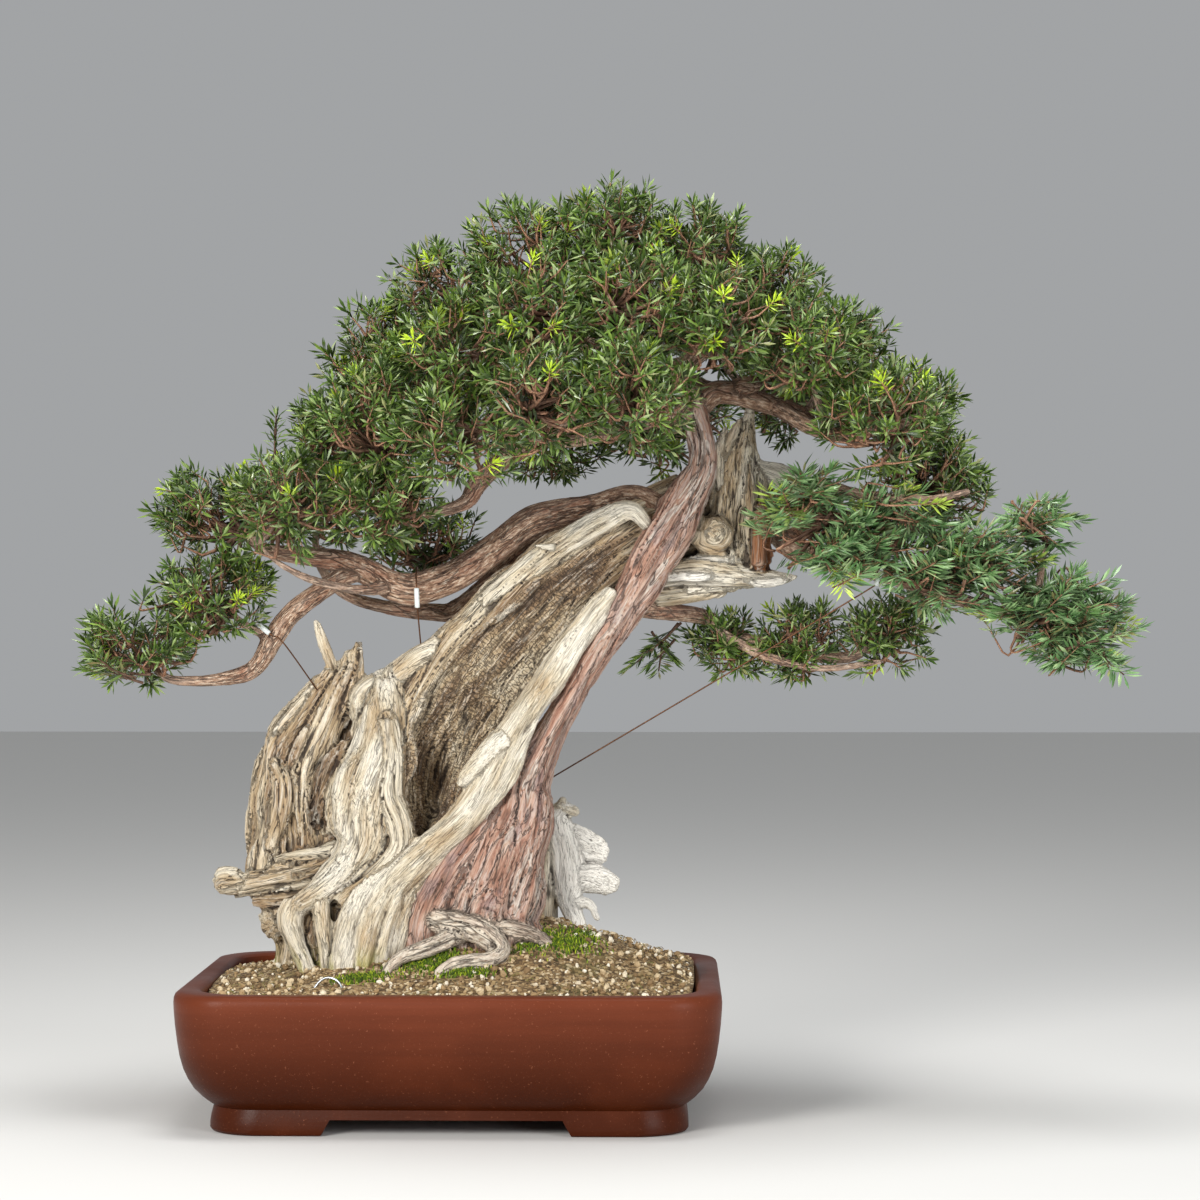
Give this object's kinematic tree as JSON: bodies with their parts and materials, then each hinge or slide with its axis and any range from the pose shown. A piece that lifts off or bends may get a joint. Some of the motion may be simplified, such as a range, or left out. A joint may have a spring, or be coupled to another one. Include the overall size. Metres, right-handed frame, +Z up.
{
  "type": "japanese yew bonsai in a pot",
  "caption": "Old japanese yew bonsai with a hollow bare-wood trunk, one strip of living bark, a domed crown and a long low right branch, in a rounded rectangular clay pot.",
  "frame": {"origin": "bottom centre of the bounding box of the whole tree and pot, on the ground under the pot's feet", "axes": "+X to the right along the pot's long side and the long low branch, -Y towards the front of the tree, +Z up"},
  "size_m": [1.0222, 0.4966, 0.8909],
  "materials": {
    "pot": "satin",
    "soil": "matte",
    "deadwood": "matte",
    "living_wood": "matte",
    "crown_foliage": "satin",
    "branch_foliage": "satin",
    "guy_wire": "satin",
    "sleeve": "satin",
    "tie_wire": "satin",
    "black_plastic": "matte"
  },
  "bodies": {
    "root": {"pot": "pot", "soil": "soil", "drain_screen_left": "black_plastic", "drain_screen_right": "black_plastic", "deadwood": "deadwood", "living_wood": "living_wood", "tie_wire": "tie_wire", "soil_tag": "black_plastic", "guy_wire_left": "guy_wire", "guy_sleeve_left": "sleeve", "guy_wire_middle": "guy_wire", "guy_sleeve_middle": "sleeve", "guy_wire_right": "guy_wire", "guy_sleeve_right": "sleeve", "foliage_crown_01": "crown_foliage", "foliage_crown_02": "crown_foliage", "foliage_crown_03": "crown_foliage", "foliage_crown_04": "crown_foliage", "foliage_crown_05": "crown_foliage", "foliage_crown_06": "crown_foliage", "foliage_crown_07": "crown_foliage", "foliage_crown_08": "crown_foliage", "foliage_crown_09": "crown_foliage", "foliage_crown_10": "crown_foliage", "foliage_crown_11": "crown_foliage", "foliage_crown_12": "crown_foliage", "foliage_crown_13": "crown_foliage", "foliage_crown_14": "crown_foliage", "foliage_crown_15": "crown_foliage", "foliage_crown_16": "crown_foliage", "foliage_crown_17": "crown_foliage", "foliage_crown_18": "crown_foliage", "foliage_crown_19": "crown_foliage", "foliage_crown_20": "crown_foliage", "foliage_crown_21": "crown_foliage", "foliage_crown_22": "crown_foliage", "foliage_crown_23": "crown_foliage", "foliage_crown_24": "crown_foliage", "foliage_crown_25": "crown_foliage", "foliage_crown_26": "crown_foliage", "foliage_crown_27": "crown_foliage", "foliage_left_01": "crown_foliage", "foliage_left_02": "crown_foliage", "foliage_left_03": "crown_foliage", "foliage_left_04": "crown_foliage", "foliage_left_05": "crown_foliage", "foliage_left_06": "crown_foliage", "foliage_left_07": "crown_foliage", "foliage_right_01": "branch_foliage", "foliage_right_02": "branch_foliage", "foliage_right_03": "branch_foliage", "foliage_right_04": "branch_foliage", "foliage_right_05": "branch_foliage", "foliage_under_01": "crown_foliage", "foliage_under_02": "crown_foliage", "foliage_under_03": "crown_foliage", "spray_left_tip": "crown_foliage", "spray_right_tip": "branch_foliage", "spray_under_trunk": "crown_foliage"}
  },
  "joints": []
}
